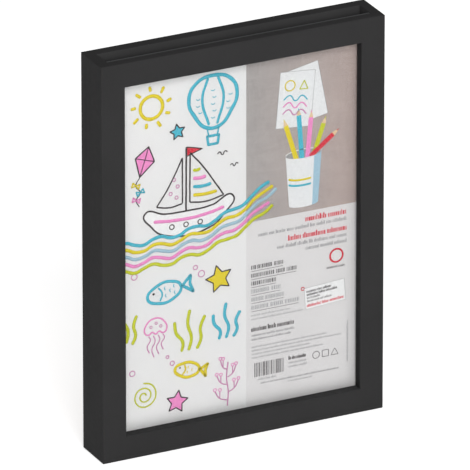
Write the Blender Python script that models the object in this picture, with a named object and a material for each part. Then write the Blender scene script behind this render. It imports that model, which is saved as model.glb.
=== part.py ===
# A deep art frame for A4 drawings, open along the top so that sheets drop in from above.
# X runs across the front, Y from the front face to the wall, Z up. The origin is the middle
# of the underside. All lengths are in metres.

import math

import bmesh
import bpy
from mathutils import Vector

# The paper that the frame is made for
sheet_width = 0.210
sheet_height = 0.297
sheet_thickness = 0.0003

# Room round the paper
side_play = 0.0022
side_cover = 0.005
top_cover = 0.0021
spacer_thickness = 0.004
slot_depth = 0.0162

# The rails: an L section, with a lip in front of the glazing and a wall behind it
wall_thickness = 0.0085
lip_depth = 0.008
back_strip_depth = 0.0095
back_strip_height = 0.020
edge_radius = 0.001
edge_steps = 3

# Glazing and back panel
glazing_thickness = 0.002
glazing_drop = 0.0003
panel_thickness = 0.003
panel_inset = 0.005

# Clearance between pieces that touch, and how far a cutter runs past what it cuts
gap = 0.0003
overrun = 0.001

# Turn tabs, which lock the back panel in a groove in the rails
tab_reach = 0.014
tab_thickness = 0.0008
tab_eye_radius = 0.005
tab_tip_radius = 0.0035
tab_engagement = 0.003
tab_arc_steps = 8
groove_play = 0.0005
side_tab_shares = {"lower": 0.24, "upper": 0.76}
end_tab_share = 0.5

# Rivets, alike for tabs and hangers
rivet_shank_radius = 0.0015
rivet_head_radius = 0.0031
rivet_head_height = 0.0010
rivet_foot_radius = 0.0026
rivet_foot_height = 0.0005
rivet_foot_sink = 0.0001
rivet_head_crown_shares = ((1.0, 0.0), (1.0, 0.35), (0.8, 0.75), (0.45, 0.97))
round_steps = 20

# Saw-tooth hangers
hanger_length = 0.044
hanger_width = 0.009
hanger_thickness = 0.0008
hanger_foot = 0.008
hanger_ramp = 0.002
hanger_rise = 0.0016
tooth_pitch = 0.0028
tooth_depth = 0.0015
upright_hanger_drop = 0.046
sideways_hanger_inset = 0.030

# Corner fasteners, driven in from behind
nail_leg = 0.0026
nail_gauge = 0.0007
wall_nail_length = 0.010
lip_nail_length = 0.005
fastener_sink = 0.0002
staple_crown = 0.010
staple_leg = 0.008
staple_gauge = 0.0009
staple_height_shares = {"lower": 0.3, "upper": 0.7}

# Sizes worked out across the frame
face_width = side_play + spacer_thickness + gap + wall_thickness + side_cover
outer_width = sheet_width - 2 * side_cover + 2 * face_width
half_width = outer_width / 2
chamber_half = half_width - wall_thickness

# Sizes worked out in height
chamber_floor = wall_thickness
spacer_floor = chamber_floor + gap
sheet_floor = spacer_floor + spacer_thickness + gap
opening_top = sheet_floor + sheet_height - top_cover
outer_height = opening_top + face_width
back_strip_floor = outer_height - back_strip_height

# Sizes worked out in depth, from the front face to the wall
depth = lip_depth + gap + glazing_thickness + slot_depth + back_strip_depth
front = -depth / 2
back = depth / 2
lip_back = front + lip_depth
glazing_front = lip_back + gap
glazing_back = glazing_front + glazing_thickness
sheet_front = glazing_back + gap
back_strip_front = back - back_strip_depth
panel_back = back - panel_inset
panel_front = panel_back - panel_thickness
tab_front = panel_back + gap
groove_front = tab_front - groove_play
groove_back = tab_front + tab_thickness + groove_play
groove_depth = tab_engagement + groove_play

# The panel fills the back between the walls and under the back strip
panel_half = chamber_half - gap
panel_floor = chamber_floor + gap
panel_top = back_strip_floor - gap
panel_height = panel_top - panel_floor
pivot_inset = tab_reach - tab_engagement

for old in list(bpy.data.objects):
    bpy.data.objects.remove(old, do_unlink=True)


def make_material(name, color, roughness, metallic=0.0, alpha=1.0):
    material = bpy.data.materials.new(name)
    material.use_nodes = True
    shader = material.node_tree.nodes["Principled BSDF"]
    shader.inputs["Base Color"].default_value = (*color, 1.0)
    shader.inputs["Roughness"].default_value = roughness
    shader.inputs["Metallic"].default_value = metallic
    shader.inputs["Alpha"].default_value = alpha
    return material


black_lacquer = make_material("black_lacquer", (0.036, 0.036, 0.037), 0.45)
clear_acrylic = make_material("clear_acrylic", (0.95, 0.96, 0.97), 0.05, alpha=0.2)
grey_board = make_material("grey_board", (0.10, 0.10, 0.10), 0.85)
printed_paper = make_material("printed_paper", (0.86, 0.86, 0.85), 0.7)
brown_hardboard = make_material("brown_hardboard", (0.25, 0.15, 0.08), 0.75)
zinc_steel = make_material("zinc_steel", (0.60, 0.60, 0.60), 0.35, 1.0)
dark_steel = make_material("dark_steel", (0.30, 0.30, 0.31), 0.45, 1.0)


def add_object(name, mesh, material, location=(0, 0, 0), turn=0.0):
    piece = bpy.data.objects.new(name, mesh)
    bpy.context.scene.collection.objects.link(piece)
    piece.location = location
    piece.rotation_euler = (0, turn, 0)
    if material and not mesh.materials:
        mesh.materials.append(material)
    return piece


def mesh_from(name, points, faces):
    model = bmesh.new()
    corners = [model.verts.new(point) for point in points]
    for face in faces:
        model.faces.new([corners[i] for i in face])
    bmesh.ops.recalc_face_normals(model, faces=model.faces)
    mesh = bpy.data.meshes.new(name)
    model.to_mesh(mesh)
    model.free()
    return mesh


# A prism: the outline lies in the plane of two axes, and is extruded along the third.
# Each end is a number, or a function of the outline's point where the end is sloped.
def prism(name, outline, plane, low, high):
    axes = ["xyz".index(letter) for letter in plane]
    along = 3 - sum(axes)

    def place(point, end):
        spot = [0.0, 0.0, 0.0]
        spot[axes[0]], spot[axes[1]] = point
        spot[along] = end(point) if callable(end) else end
        return spot

    points = [place(p, low) for p in outline] + [place(p, high) for p in outline]
    count = len(outline)
    sides = [
        (i, (i + 1) % count, count + (i + 1) % count, count + i) for i in range(count)
    ]
    ends = [tuple(range(count)), tuple(range(2 * count - 1, count - 1, -1))]
    return mesh_from(name, points, sides + ends)


def rectangle(low, high):
    return [(low[0], low[1]), (high[0], low[1]), (high[0], high[1]), (low[0], high[1])]


def block(name, low, high):
    return prism(name, rectangle(low[:2], high[:2]), "xy", low[2], high[2])


# A turned shape round the Y axis, from (radius, y) rings, front to back.
def turned(name, rings):
    points, faces = [], []
    for radius, y in rings:
        for i in range(round_steps):
            angle = 2 * math.pi * i / round_steps
            points.append((radius * math.cos(angle), y, radius * math.sin(angle)))
    for ring in range(len(rings) - 1):
        for i in range(round_steps):
            j = (i + 1) % round_steps
            first, second = ring * round_steps, (ring + 1) * round_steps
            faces.append((first + i, first + j, second + j, second + i))
    faces.append(tuple(range(round_steps)))
    last = (len(rings) - 1) * round_steps
    faces.append(tuple(last + i for i in reversed(range(round_steps))))
    return mesh_from(name, points, faces)


# Rounds the listed corners of an outline with an arc that meets both sides.
def eased(outline, radius, corners):
    result = []
    for i, corner in enumerate(outline):
        if i not in corners:
            result.append(corner)
            continue
        here = Vector(corner)
        before = (Vector(outline[i - 1]) - here).normalized()
        after = (Vector(outline[(i + 1) % len(outline)]) - here).normalized()
        centre = here + (before + after) * radius
        start, end = -after * radius, -before * radius
        for step in range(edge_steps + 1):
            angle = math.pi / 2 * step / edge_steps
            spot = centre + start * math.cos(angle) + end * math.sin(angle)
            result.append((spot.x, spot.y))
    return result


# Moves every side of a convex or bent outline outwards by a distance.
def grown(outline, distance):
    result = []
    for i, corner in enumerate(outline):
        here = Vector(corner)
        before = (here - Vector(outline[i - 1])).normalized()
        after = (Vector(outline[(i + 1) % len(outline)]) - here).normalized()
        first = Vector((before.y, -before.x))
        second = Vector((after.y, -after.x))
        spot = here + (first + second) * distance / (1 + first.dot(second))
        result.append((spot.x, spot.y))
    return result


def cutter(name, mesh, location=(0, 0, 0), turn=0.0):
    tool = add_object(name, mesh, None, location, turn)
    tool.hide_render = True
    tool.display_type = "WIRE"
    return tool


def cut(piece, tool):
    modifier = piece.modifiers.new("cut_" + tool.name, "BOOLEAN")
    modifier.operation = "DIFFERENCE"
    modifier.solver = "EXACT"
    modifier.object = tool


# Rails. The section is given as (y, across), where across runs in from the outer side.
rail_section = eased(
    [
        (front, 0.0),
        (back, 0.0),
        (back, wall_thickness),
        (lip_back, wall_thickness),
        (lip_back, face_width),
        (front, face_width),
    ],
    edge_radius,
    (0, 1, 5),
)
mitre_play = gap / 2 * math.sqrt(2)


def mitre_low(point):
    return point[1] + mitre_play


def make_rails():
    bottom = prism(
        "bottom_rail",
        rail_section,
        "yz",
        lambda p: mitre_low(p) - half_width,
        lambda p: half_width - mitre_low(p),
    )
    add_object("bottom_rail", bottom, black_lacquer)
    left = prism(
        "left_rail", rail_section, "yz", -outer_height, lambda p: -mitre_low(p)
    )
    add_object("left_rail", left, black_lacquer, (-half_width, 0, 0), math.pi / 2)
    right = prism("right_rail", rail_section, "yz", mitre_low, outer_height)
    add_object("right_rail", right, black_lacquer, (half_width, 0, 0), -math.pi / 2)


def make_top_front_rail():
    section = eased(
        [
            (front, outer_height - face_width),
            (lip_back, outer_height - face_width),
            (lip_back, outer_height),
            (front, outer_height),
        ],
        edge_radius,
        (0, 2, 3),
    )

    def end(point):
        return half_width - (outer_height - point[1]) - mitre_play

    mesh = prism("top_front_rail", section, "yz", lambda p: -end(p), end)
    add_object("top_front_rail", mesh, black_lacquer)
    # The space it takes out of the side rails: the whole corner in front, cut at 45 degrees
    space = rectangle(
        (front - overrun, opening_top - overrun),
        (lip_back + gap, outer_height + overrun),
    )

    def space_end(point):
        return half_width - (outer_height - point[1]) + mitre_play

    tool = cutter(
        "top_corner_space", prism("space", space, "yz", lambda p: -space_end(p), space_end)
    )
    cut(bpy.data.objects["left_rail"], tool)
    cut(bpy.data.objects["right_rail"], tool)


def make_top_back_rail():
    section = eased(
        [
            (back_strip_front, back_strip_floor),
            (back, back_strip_floor),
            (back, outer_height),
            (back_strip_front, outer_height),
        ],
        edge_radius,
        (2, 3),
    )
    mesh = prism("top_back_rail", section, "yz", -panel_half, panel_half)
    add_object("top_back_rail", mesh, black_lacquer)


# One groove for each rail takes the tips of the turn tabs.
def cut_grooves():
    reach = chamber_half + groove_depth
    side_low = (chamber_half - overrun, groove_front, chamber_floor)
    side_high = (reach, groove_back, back_strip_floor)
    right = cutter("right_groove", block("right_groove", side_low, side_high))
    cut(bpy.data.objects["right_rail"], right)
    left_low = (-reach, groove_front, chamber_floor)
    left_high = (overrun - chamber_half, groove_back, back_strip_floor)
    left = cutter("left_groove", block("left_groove", left_low, left_high))
    cut(bpy.data.objects["left_rail"], left)
    floor_low = (-chamber_half, groove_front, chamber_floor - groove_depth)
    floor_high = (chamber_half, groove_back, chamber_floor + overrun)
    floor = cutter("bottom_groove", block("bottom_groove", floor_low, floor_high))
    cut(bpy.data.objects["bottom_rail"], floor)
    top_low = (-half_width, groove_front, back_strip_floor - overrun)
    top_high = (half_width, groove_back, back_strip_floor + groove_depth)
    top = cutter("top_groove", block("top_groove", top_low, top_high))
    cut(bpy.data.objects["top_back_rail"], top)


# V nails straddle each mitre, with the point of the V towards the middle of the frame.
nail_outline = [
    (0.0, 0.0),
    (-nail_leg, nail_leg),
    (-nail_leg - nail_gauge, nail_leg),
    (-nail_gauge, 0.0),
    (-nail_leg - nail_gauge, -nail_leg),
    (-nail_leg, -nail_leg),
]


def add_v_nail(name, across, mouth, length, side, upper, rails):
    x = side * (half_width - across)
    z = outer_height - across if upper else across
    inwards = math.atan2(-1 if upper else 1, -side)
    turn = -inwards
    middle = nail_leg / 2
    location = (x + middle * math.cos(inwards), 0, z + middle * math.sin(inwards))
    end = mouth - fastener_sink
    nail = prism("v_nail", nail_outline, "xz", end - length, end)
    add_object(name, nail, dark_steel, location, turn)
    pocket = prism(
        "nail_pocket",
        grown(nail_outline, gap),
        "xz",
        end - length - gap,
        mouth + overrun,
    )
    tool = cutter(name + "_pocket", pocket, location, turn)
    for rail in rails:
        cut(bpy.data.objects[rail], tool)


def make_v_nails():
    lip_across = (wall_thickness + face_width) / 2
    for word, side in (("left", -1), ("right", 1)):
        rails = ("bottom_rail", word + "_rail")
        name = "v_nail_bottom_" + word
        wall_across = wall_thickness / 2
        add_v_nail(name + "_wall", wall_across, back, wall_nail_length, side, False, rails)
        add_v_nail(name + "_lip", lip_across, lip_back, lip_nail_length, side, False, rails)
        rails = ("top_front_rail", word + "_rail")
        name = "v_nail_top_" + word + "_lip"
        add_v_nail(name, lip_across, lip_back, lip_nail_length, side, True, rails)


# Staples tie the ends of the back strip to the side walls, across the joint, from behind.
def staple_outline(growth, crown_top):
    reach = staple_crown / 2
    return [
        (-reach - growth, crown_top),
        (-reach - growth, -staple_leg - growth),
        (-reach + staple_gauge + growth, -staple_leg - growth),
        (-reach + staple_gauge + growth, -staple_gauge - growth),
        (reach - staple_gauge - growth, -staple_gauge - growth),
        (reach - staple_gauge - growth, -staple_leg - growth),
        (reach + growth, -staple_leg - growth),
        (reach + growth, crown_top),
    ]


def make_staples():
    half = staple_gauge / 2
    for word, side in (("left", -1), ("right", 1)):
        for level, share in staple_height_shares.items():
            name = "staple_" + word + "_" + level
            z = back_strip_floor + back_strip_height * share
            place = (side * chamber_half, back - fastener_sink, z)
            wire = prism("staple", staple_outline(0.0, 0.0), "xy", -half, half)
            add_object(name, wire, dark_steel, place)
            room = staple_outline(gap, fastener_sink + overrun)
            pocket = prism("staple_pocket", room, "xy", -half - gap, half + gap)
            tool = cutter(name + "_pocket", pocket, place)
            cut(bpy.data.objects["top_back_rail"], tool)
            cut(bpy.data.objects[word + "_rail"], tool)


def make_glazing():
    mesh = block(
        "glazing",
        (-panel_half, 0, 0),
        (panel_half, glazing_thickness, outer_height - glazing_drop - panel_floor),
    )
    add_object("glazing", mesh, clear_acrylic, (0, glazing_front, panel_floor))


def make_spacers():
    low, high = sheet_front, panel_front - gap
    floor = block(
        "bottom_spacer",
        (-panel_half, low, spacer_floor),
        (panel_half, high, spacer_floor + spacer_thickness),
    )
    add_object("bottom_spacer", floor, grey_board)
    inner = panel_half - spacer_thickness
    right = block("right_spacer", (inner, low, sheet_floor), (panel_half, high, panel_top))
    add_object("right_spacer", right, grey_board)
    left = block("left_spacer", (-panel_half, low, sheet_floor), (-inner, high, panel_top))
    add_object("left_spacer", left, grey_board)


def make_sheet():
    mesh = block(
        "insert_sheet",
        (-sheet_width / 2, 0, 0),
        (sheet_width / 2, sheet_thickness, sheet_height),
    )
    add_object("insert_sheet", mesh, printed_paper, (0, sheet_front, sheet_floor))


# Where each turn tab pivots, and which way it points when it locks, as a turn about Y.
def tab_places():
    side_x = chamber_half - pivot_inset
    places = {}
    for level, share in side_tab_shares.items():
        z = panel_floor + panel_height * share
        places["left_" + level] = (-side_x, z, math.pi)
        places["right_" + level] = (side_x, z, 0.0)
    middle = panel_half * (2 * end_tab_share - 1)
    places["top"] = (middle, back_strip_floor - pivot_inset, -math.pi / 2)
    places["bottom"] = (middle, chamber_floor + pivot_inset, math.pi / 2)
    return places


# A flat drop shape: a round eye on the rivet, tapering to a smaller round tip.
def tab_outline():
    tip = tab_reach - tab_tip_radius
    lean = math.acos((tab_eye_radius - tab_tip_radius) / tip)
    points = []
    for step in range(tab_arc_steps + 1):
        angle = -lean + 2 * lean * step / tab_arc_steps
        across = tab_tip_radius * math.sin(angle)
        points.append((tip + tab_tip_radius * math.cos(angle), across))
    for step in range(2 * tab_arc_steps + 1):
        angle = lean + 2 * (math.pi - lean) * step / (2 * tab_arc_steps)
        points.append((tab_eye_radius * math.cos(angle), tab_eye_radius * math.sin(angle)))
    return points


def rivet_mesh():
    head = 2 * gap + tab_thickness
    rings = [
        (rivet_foot_radius, rivet_foot_sink - panel_thickness),
        (rivet_foot_radius, rivet_foot_sink + rivet_foot_height - panel_thickness),
        (rivet_shank_radius, rivet_foot_sink + rivet_foot_height - panel_thickness),
        (rivet_shank_radius, head),
    ]
    for wide, high in rivet_head_crown_shares:
        rings.append((rivet_head_radius * wide, head + rivet_head_height * high))
    return turned("rivet", rings)


# The hole that a rivet takes in the panel, wider in front where its foot is set.
def rivet_hole_mesh():
    foot = rivet_foot_sink + rivet_foot_height + gap - panel_thickness
    return turned(
        "rivet_hole",
        [
            (rivet_foot_radius + gap, -panel_thickness - overrun),
            (rivet_foot_radius + gap, foot),
            (rivet_shank_radius + gap, foot),
            (rivet_shank_radius + gap, overrun),
        ],
    )


def add_rivet(name, x, z, rivet, hole):
    add_object(name, rivet, zinc_steel, (x, panel_back, z))
    cut(bpy.data.objects["back_panel"], cutter(name + "_hole", hole, (x, panel_back, z)))


def make_tabs(rivet, hole):
    outline = tab_outline()
    eye = turned(
        "tab_eye",
        [
            (rivet_shank_radius + gap, -overrun),
            (rivet_shank_radius + gap, tab_thickness + overrun),
        ],
    )
    for word, (x, z, turn) in tab_places().items():
        tab = add_object(
            "turn_tab_" + word,
            prism("turn_tab", outline, "xz", 0.0, tab_thickness),
            zinc_steel,
            (x, tab_front, z),
            turn,
        )
        cut(tab, cutter("tab_eye_" + word, eye, (x, tab_front, z)))
        add_rivet("tab_rivet_" + word, x, z, rivet, hole)


# The hanger's feet lie on the panel, and its raised middle has teeth along the lower edge.
def hanger_mesh():
    end = hanger_length / 2
    foot = end - hanger_foot
    rise = foot - hanger_ramp
    under = [
        (-end, 0.0),
        (-foot, 0.0),
        (-rise, hanger_rise),
        (rise, hanger_rise),
        (foot, 0.0),
        (end, 0.0),
    ]
    over = [(x, y + hanger_thickness) for x, y in reversed(under)]
    return prism("hanger", under + over, "xy", -hanger_width / 2, hanger_width / 2)


def hanger_teeth_mesh():
    flat = hanger_length / 2 - hanger_foot - hanger_ramp
    count = int(2 * flat / tooth_pitch)
    start = -count * tooth_pitch / 2
    floor = -hanger_width / 2
    outline = [(start, floor - 2 * overrun)]
    for tooth in range(count):
        outline.append((start + tooth * tooth_pitch, floor - overrun))
        outline.append((start + (tooth + 0.5) * tooth_pitch, floor + tooth_depth))
    outline.append((-start, floor - overrun))
    outline.append((-start, floor - 2 * overrun))
    high = hanger_rise + hanger_thickness + overrun
    return prism("hanger_teeth", outline, "xz", hanger_rise - overrun, high)


def make_hangers(rivet, hole):
    eye = turned(
        "hanger_eye",
        [
            (rivet_shank_radius + gap, -overrun),
            (rivet_shank_radius + gap, hanger_thickness + overrun),
        ],
    )
    teeth = hanger_teeth_mesh()
    arm = (hanger_length - hanger_foot) / 2
    middle = panel_floor + panel_height / 2
    places = {
        "upright": (0.0, back_strip_floor - upright_hanger_drop, 0.0),
        "sideways": (chamber_half - sideways_hanger_inset, middle, math.pi / 2),
    }
    for word, (x, z, turn) in places.items():
        place = (x, panel_back + gap, z)
        hanger = add_object("hanger_" + word, hanger_mesh(), zinc_steel, place, turn)
        cut(hanger, cutter("teeth_" + word, teeth, place, turn))
        for end, side in (("first", -1), ("second", 1)):
            foot_x = x + side * arm * math.cos(turn)
            foot_z = z - side * arm * math.sin(turn)
            eye_place = (foot_x, panel_back + gap, foot_z)
            cut(hanger, cutter("eye_" + word + "_" + end, eye, eye_place))
            add_rivet("hanger_rivet_" + word + "_" + end, foot_x, foot_z, rivet, hole)


def make_panel():
    mesh = block(
        "back_panel",
        (-panel_half, panel_front, panel_floor),
        (panel_half, panel_back, panel_top),
    )
    add_object("back_panel", mesh, brown_hardboard)


def shade_round_pieces():
    for piece in bpy.data.objects:
        if piece.type == "MESH" and not piece.hide_render:
            piece.data.shade_smooth()
            piece.data.set_sharp_from_angle(angle=math.radians(30))


def main():
    make_rails()
    make_top_front_rail()
    make_top_back_rail()
    cut_grooves()
    make_v_nails()
    make_staples()
    make_glazing()
    make_spacers()
    make_sheet()
    make_panel()
    rivet, hole = rivet_mesh(), rivet_hole_mesh()
    make_tabs(rivet, hole)
    make_hangers(rivet, hole)
    shade_round_pieces()


main()
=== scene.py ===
import math
import random

import bmesh
import bpy
from mathutils import Matrix, Vector


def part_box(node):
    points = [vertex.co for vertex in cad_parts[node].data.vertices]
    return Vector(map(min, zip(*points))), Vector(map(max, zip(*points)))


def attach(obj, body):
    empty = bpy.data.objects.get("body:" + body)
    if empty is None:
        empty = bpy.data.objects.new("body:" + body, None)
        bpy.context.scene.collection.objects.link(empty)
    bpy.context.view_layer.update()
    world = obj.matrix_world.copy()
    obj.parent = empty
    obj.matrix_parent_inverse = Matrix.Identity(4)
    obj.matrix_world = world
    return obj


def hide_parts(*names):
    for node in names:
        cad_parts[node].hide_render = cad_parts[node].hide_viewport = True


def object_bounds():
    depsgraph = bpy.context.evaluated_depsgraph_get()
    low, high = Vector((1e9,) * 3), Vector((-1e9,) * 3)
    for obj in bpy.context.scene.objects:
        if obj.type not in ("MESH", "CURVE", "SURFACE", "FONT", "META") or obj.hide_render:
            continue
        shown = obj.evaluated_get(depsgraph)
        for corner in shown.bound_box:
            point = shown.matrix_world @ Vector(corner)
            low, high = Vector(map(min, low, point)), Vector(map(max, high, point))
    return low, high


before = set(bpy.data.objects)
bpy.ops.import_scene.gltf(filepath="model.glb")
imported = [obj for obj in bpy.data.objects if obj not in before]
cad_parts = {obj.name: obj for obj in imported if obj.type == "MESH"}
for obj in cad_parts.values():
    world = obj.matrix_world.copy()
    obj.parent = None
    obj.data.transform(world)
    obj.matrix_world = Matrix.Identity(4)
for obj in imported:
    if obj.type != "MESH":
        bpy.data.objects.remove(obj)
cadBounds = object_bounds()
print("frame loaded")

mm = 0.001
world = bpy.context.scene.collection

# Camera. The lens is long, as in the photograph.
cameraView = {
    "aim": (-0.0077, -0.018, 0.1698),
    "turn": 26.3,        # degrees to the left of straight in front
    "rise": 23.26,       # degrees above the horizon
    "distance": 8.293,
    "lens": 833.3,
    "sensor": 36.0,
}


def linked(name, data=None):
    thing = bpy.data.objects.new(name, data)
    world.objects.link(thing)
    return thing


def facing(direction):
    return direction.to_track_quat("-Z", "Y").to_euler()


def makeCamera():
    turn = math.radians(cameraView["turn"])
    rise = math.radians(cameraView["rise"])
    flat = math.cos(rise)
    back = Vector((-math.sin(turn) * flat, -math.cos(turn) * flat, math.sin(rise)))
    lens = bpy.data.cameras.new("camera")
    lens.lens = cameraView["lens"]
    lens.sensor_width = cameraView["sensor"]
    camera = linked("camera", lens)
    camera.location = Vector(cameraView["aim"]) + back * cameraView["distance"]
    camera.rotation_euler = facing(-back)
    bpy.context.scene.camera = camera


# Light. A pale floor that is lit from within a little, a large soft light just above the camera
# and a weak one overhead. The sky is brighter towards the top.
studio = {
    "floorHalf": 14.0,
    "floorShader": (0.9, 0.0),       # roughness and specular level
    "floorColor": (0.9, 0.9, 0.9),
    "floorClouds": (3.0, 0.99, 1.0),
    "floorGlow": 0.5,
    "lights": {
        "overheadLight": {"place": (0.3, -0.4, 3.2), "size": 3.0, "watts": 16.0},
        "frontLight": {"place": (-1.0, -3.2, 2.35), "size": 2.4, "watts": 114.0},
    },
    "skyFrom": 0.2,
    "skyTo": 0.9,
    "skyLow": 0.15,
    "skyHigh": 0.42,
}
white = (1.0, 1.0, 1.0, 1.0)


def addLight(name, values):
    light = bpy.data.lights.new(name, "AREA")
    light.shape = "SQUARE"
    light.size = values["size"]
    light.energy = values["watts"]
    lamp = linked(name, light)
    lamp.location = values["place"]
    lamp.rotation_euler = facing(Vector(cameraView["aim"]) - lamp.location)


def makeStudio():
    half = studio["floorHalf"]
    corners = [(x, y, 0) for x, y in oblong(-half, -half, half, half)]
    floor = linked("floor", meshFrom("floor", corners, [(0, 1, 2, 3)]))
    paint = Paint("floorPaper", *studio["floorShader"])
    paint.tint(studio["floorColor"], studio["floorClouds"])
    paint.fix("Emission Color", white)
    paint.fix("Emission Strength", studio["floorGlow"])
    floor.data.materials.append(paint.material)
    for name, values in studio["lights"].items():
        addLight(name, values)
    sky = bpy.data.worlds.new("studioSky")
    sky.use_nodes = True
    nodes = Nodes(sky.node_tree)
    background = sky.node_tree.nodes["Background"]
    direction = nodes.add("ShaderNodeTexCoord")["Generated"]
    height = nodes.add("ShaderNodeSeparateXYZ", {0: direction})["Z"]
    low, high = studio["skyLow"], studio["skyHigh"]
    glow = nodes.spread(height, studio["skyFrom"], studio["skyTo"], low, high)
    nodes.give(background, {"Strength": glow, "Color": white})
    bpy.context.scene.world = sky
    bpy.context.scene.view_settings.view_transform = "Standard"


# Adds nodes to a tree. Inputs are values or the outputs of other nodes.
class Nodes:
    def __init__(self, tree):
        self.tree = tree

    def give(self, node, inputs):
        for key, value in inputs.items():
            if isinstance(value, bpy.types.NodeSocket):
                self.tree.links.new(value, node.inputs[key])
            else:
                node.inputs[key].default_value = value

    def add(self, kind, inputs=None, **settings):
        node = self.tree.nodes.new(kind)
        for key, value in settings.items():
            setattr(node, key, value)
        self.give(node, inputs or {})
        return node.outputs

    def calc(self, operation, first, second=0.0):
        return self.add("ShaderNodeMath", {0: first, 1: second}, operation=operation)[0]

    def vector(self, operation, first, *others, **inputs):
        inputs.update(enumerate(others, 1))
        return self.add("ShaderNodeVectorMath", {0: first, **inputs}, operation=operation)[0]

    def spread(self, value, *ends):
        return self.add("ShaderNodeMapRange", {0: value, **dict(enumerate(ends, 1))})[0]


def oblong(left, low, right, high):
    return [(left, low), (right, low), (right, high), (left, high)]


# Mesh helpers.
def meshFrom(name, points, faces):
    mesh = bpy.data.meshes.new(name)
    mesh.from_pydata([tuple(p) for p in points], [], faces)
    mesh.update()
    return mesh


def joined(name, meshes):
    whole = bmesh.new()
    for mesh in meshes:
        whole.from_mesh(mesh)
    result = bpy.data.meshes.new(name)
    whole.to_mesh(result)
    whole.free()
    return result


# Turns a mesh about Y and then moves it.
def shifted(mesh, x, y, z, turn=0.0):
    mesh.transform(Matrix.Rotation(turn, 4, "Y"))
    mesh.transform(Matrix.Translation((x, y, z)))
    return mesh


# Places a mesh by where its X and Z axes go and an origin, and keeps its faces outwards where that
# mirrors it.
def placed(mesh, xAxis, zAxis, origin):
    matrix = Matrix((xAxis, (0, 1, 0), zAxis)).transposed().to_4x4()
    matrix.translation = Vector(origin)
    mesh.transform(matrix)
    if matrix.to_3x3().determinant() < 0:
        mesh.flip_normals()
    return mesh


def evaluated(holder):
    graph = bpy.context.evaluated_depsgraph_get()
    return bpy.data.meshes.new_from_object(
        holder.evaluated_get(graph), preserve_all_data_layers=True, depsgraph=graph
    )


# Makes a change to a mesh by way of its bmesh.
def changed(mesh, change):
    work = bmesh.new()
    work.from_mesh(mesh)
    change(work)
    work.to_mesh(mesh)
    work.free()
    return mesh


def turnOut(work):
    bmesh.ops.recalc_face_normals(work, faces=work.faces)


# Smooth, apart from the edges over an angle.
def shaded(mesh, sharpAngle):
    mesh.shade_smooth()
    mesh.set_sharp_from_angle(angle=math.radians(sharpAngle))
    return mesh


# Joins rings of equally many points and closes the first and the last of them.
def lofted(name, rings):
    points = [point for row in rings for point in row]
    count = len(rings[0])
    faces = [tuple(range(count)), tuple(range(len(points) - count, len(points)))]
    for start in range(0, len(points) - count, count):
        for step in range(count):
            a, b = start + step, start + (step + 1) % count
            faces.append((a, b, b + count, a + count))
    return changed(meshFrom(name, points, faces), turnOut)


# A prism of an outline in two axes, from low to high along the third.
def prism(outline, plane, low, high):
    order = ["xyz".index(axis) for axis in plane + "xyz".strip(plane)]
    rings = []
    for level in (low, high):
        rings.append([])
        for x, y in outline:
            place = [0.0, 0.0, 0.0]
            for axis, value in zip(order, (x, y, level)):
                place[axis] = value
            rings[-1].append(place)
    return lofted("prism", rings)


# Turns (radius, along) rings about the Y axis.
def turnedMesh(rings, steps):
    angles = [2 * math.pi * step / steps for step in range(steps)]
    return lofted("turned", [
        [(radius * math.cos(angle), along, radius * math.sin(angle)) for angle in angles]
        for radius, along in rings
    ])


# Points on an arc of an ellipse, angles in degrees.
def arc(cx, cy, radius, start, end, steps, tall=1.0):
    angles = [math.radians(start + (end - start) * step / steps) for step in range(steps + 1)]
    return [(cx + radius * math.cos(a), cy + radius * tall * math.sin(a)) for a in angles]


shaping = {
    "roundSteps": 5,
    "easeSteps": 2,
    "sharpAngle": 30.0,
    "squareOn": 0.9,     # a face counts as square on to an axis above this share
}


# Rounds the corners of an outline of (x, y, radius), all of them right angles.
def roundedOutline(corners, steps=shaping["roundSteps"]):
    result = []
    for i, (x, y, radius) in enumerate(corners):
        if radius == 0:
            result.append((x, y))
            continue
        here = Vector((x, y))
        before = (Vector(corners[i - 1][:2]) - here).normalized()
        after = (Vector(corners[(i + 1) % len(corners)][:2]) - here).normalized()
        centre = here + (before + after) * radius
        for cos, sin in arc(0, 0, 1, 0, 90, steps):
            result.append(tuple(centre - after * radius * cos - before * radius * sin))
    return result


# Moves the sides of an outline outwards.
def grown(outline, distance):
    result = []
    for i, corner in enumerate(outline):
        here = Vector(corner)
        before = (here - Vector(outline[i - 1])).normalized()
        after = (Vector(outline[(i + 1) % len(outline)]) - here).normalized()
        first = Vector((before.y, -before.x))
        second = Vector((after.y, -after.x))
        result.append(tuple(here + (first + second) * distance / (1 + first.dot(second))))
    return result


# Cuts tools out of a mesh, eases its edges and gives back a plain mesh.
def worked(mesh, tools=(), ease=0.0, sharpAngle=shaping["sharpAngle"]):
    holder = linked("holder", mesh)
    helpers = [linked("cutter", tool) for tool in tools]
    for helper in helpers:
        cut = holder.modifiers.new("cut", "BOOLEAN")
        cut.operation = "DIFFERENCE"
        cut.solver = "EXACT"
        cut.object = helper
    if ease:
        bevel = holder.modifiers.new("ease", "BEVEL")
        bevel.width = ease
        bevel.segments = shaping["easeSteps"]
        bevel.limit_method = "ANGLE"
        bevel.angle_limit = math.radians(sharpAngle)
    solid = evaluated(holder)
    holder.modifiers.clear()
    holder.data = shaded(solid, sharpAngle)
    holder.modifiers.new("normals", "WEIGHTED_NORMAL").keep_sharp = True
    result = evaluated(holder)
    for helper in [holder, *helpers]:
        bpy.data.objects.remove(helper)
    return result


def addPiece(name, mesh, paints, slot, body, *nodes):
    for material in paints:
        mesh.materials.append(material)
    piece = linked(name, mesh)
    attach(piece, body)
    if nodes:
        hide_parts(*nodes)


# The places of a node's box in X and Z where its middle is.
def middle(node):
    low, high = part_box(node)
    return (low.x + high.x) / 2, (low.z + high.z) / 2


noiseSpan = (0.3, 0.7)    # the middle of a noise's range, which is spread over its two values


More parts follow.
